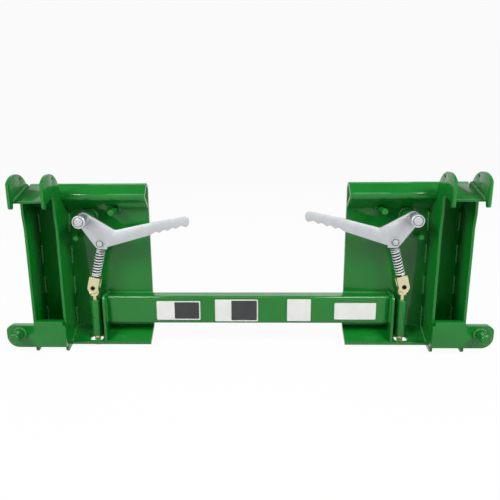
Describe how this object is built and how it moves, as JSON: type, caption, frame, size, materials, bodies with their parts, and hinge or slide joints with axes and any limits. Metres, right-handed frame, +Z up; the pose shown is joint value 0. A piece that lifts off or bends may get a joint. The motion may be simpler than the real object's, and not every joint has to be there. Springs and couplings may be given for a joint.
{
  "type": "skid steer quick attach plate",
  "caption": "Welded adapter plate with hook ears for a loader, a wedge top edge and lip for implements, and spring-loaded lever locks.",
  "frame": {"origin": "axis of the loader's hook bar, half way between the two pairs of hook ears", "axes": "+X side to side (towards the right as the loader's side is looked at), +Y from the loader to the implement, +Z up"},
  "size_m": [1.254, 0.1575, 0.4682],
  "materials": {
    "green_paint": "glossy enamel",
    "zinc_steel": "bright zinc plated",
    "spring_steel": "zinc plated",
    "yellow_zinc": "yellow zinc plated",
    "dark_steel": "black oxide"
  },
  "bodies": {
    "carrier": {"cross_tube": "green_paint", "left_face_plate": "green_paint", "left_outer_rib": "green_paint", "left_inner_rib": "green_paint", "left_saddle_plate": "green_paint", "left_lower_bar": "green_paint", "left_stub_pin": "green_paint", "left_gusset": "green_paint", "left_guide_tube": "green_paint", "left_guide_web": "green_paint", "left_pivot_post": "green_paint", "left_open_stop": "green_paint", "left_lock_stop": "green_paint", "left_set_screw": "dark_steel", "right_face_plate": "green_paint", "right_outer_rib": "green_paint", "right_inner_rib": "green_paint", "right_saddle_plate": "green_paint", "right_lower_bar": "green_paint", "right_stub_pin": "green_paint", "right_gusset": "green_paint", "right_guide_tube": "green_paint", "right_guide_web": "green_paint", "right_pivot_post": "green_paint", "right_open_stop": "green_paint", "right_lock_stop": "green_paint", "right_set_screw": "dark_steel"},
    "left_lever": {"left_lever": "zinc_steel", "left_lever_hub": "zinc_steel", "left_link_pin": "zinc_steel", "left_link_clip": "zinc_steel"},
    "left_link": {"left_link_rod": "zinc_steel", "left_spring_washer": "zinc_steel", "left_spring": "spring_steel"},
    "left_pin": {"left_wedge_pin": "yellow_zinc"},
    "left_yoke": {"left_yoke": "yellow_zinc", "left_roll_pin": "dark_steel"},
    "right_lever": {"right_lever": "zinc_steel", "right_lever_hub": "zinc_steel", "right_link_pin": "zinc_steel", "right_link_clip": "zinc_steel"},
    "right_link": {"right_link_rod": "zinc_steel", "right_spring_washer": "zinc_steel", "right_spring": "spring_steel"},
    "right_pin": {"right_wedge_pin": "yellow_zinc"},
    "right_yoke": {"right_yoke": "yellow_zinc", "right_roll_pin": "dark_steel"}
  },
  "joints": [
    {"name": "left_lever_turn", "type": "hinge", "parent": "carrier", "child": "left_lever", "pos_m": [-0.414, 0.05875, -0.03449], "axis": [0, -1, 0], "range_deg": [-13.6, 24.4]},
    {"name": "left_link_swing", "type": "hinge", "parent": "left_lever", "child": "left_link", "pos_m": [-0.37607, 0.07275, -0.0964], "axis": [0, -1, 0], "range_deg": [-35.39, 19.73]},
    {"name": "left_pin_slide", "type": "slide", "parent": "carrier", "child": "left_pin", "axis": [0, 0, 1], "range_m": [-0.01361, 0.02441]},
    {"name": "left_yoke_swing", "type": "hinge", "parent": "left_pin", "child": "left_yoke", "pos_m": [-0.406, 0.07275, -0.21879], "axis": [0, -1, 0], "range_deg": [-10.99, 6.13]},
    {"name": "right_lever_turn", "type": "hinge", "parent": "carrier", "child": "right_lever", "pos_m": [0.414, 0.05875, -0.03449], "axis": [0, 1, 0], "range_deg": [-16.4, 21.6]},
    {"name": "right_link_swing", "type": "hinge", "parent": "right_lever", "child": "right_link", "pos_m": [0.37309, 0.07275, -0.09447], "axis": [0, 1, 0], "range_deg": [-31.33, 23.79]},
    {"name": "right_pin_slide", "type": "slide", "parent": "carrier", "child": "right_pin", "axis": [0, 0, 1], "range_m": [-0.01641, 0.02161]},
    {"name": "right_yoke_swing", "type": "hinge", "parent": "right_pin", "child": "right_yoke", "pos_m": [0.406, 0.07275, -0.2161], "axis": [0, 1, 0], "range_deg": [-9.73, 7.39]}
  ],
  "couplings": [
    {"joint": "left_link_swing", "follows": "left_lever_turn", "ratio": -1.45},
    {"joint": "left_pin_slide", "follows": "left_lever_turn", "m_per_rad": 0.057296},
    {"joint": "left_yoke_swing", "follows": "left_lever_turn", "ratio": -0.45},
    {"joint": "right_link_swing", "follows": "right_lever_turn", "ratio": -1.45},
    {"joint": "right_pin_slide", "follows": "right_lever_turn", "m_per_rad": 0.057296},
    {"joint": "right_yoke_swing", "follows": "right_lever_turn", "ratio": -0.45}
  ]
}
